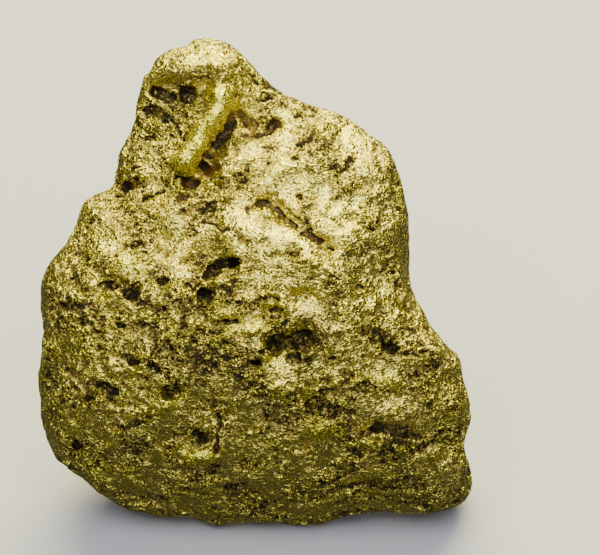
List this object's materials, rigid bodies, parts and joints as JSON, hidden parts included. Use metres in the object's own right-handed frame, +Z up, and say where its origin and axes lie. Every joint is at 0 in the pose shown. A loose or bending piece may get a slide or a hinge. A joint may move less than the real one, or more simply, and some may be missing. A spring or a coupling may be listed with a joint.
{
  "type": "native gold specimen",
  "caption": "Waterworn native gold nugget with a domed head, a ridged neck, a folded shoulder and a broad pitted face, standing on a small flat of its lower edge.",
  "frame": {"origin": "on the flat that the nugget stands on, below the middle line of its broad face", "axes": "+Z up, the broad face towards -Y and leaning back, +X to the right of someone looking at that face"},
  "size_m": [0.0474, 0.0259, 0.0524],
  "materials": {
    "native_gold": "waterworn greenish yellow gold, satin on the worn lumps, dark in the pits and rusty brown in the folds"
  },
  "bodies": {
    "root": {"gold_nugget": "native_gold"}
  },
  "joints": []
}
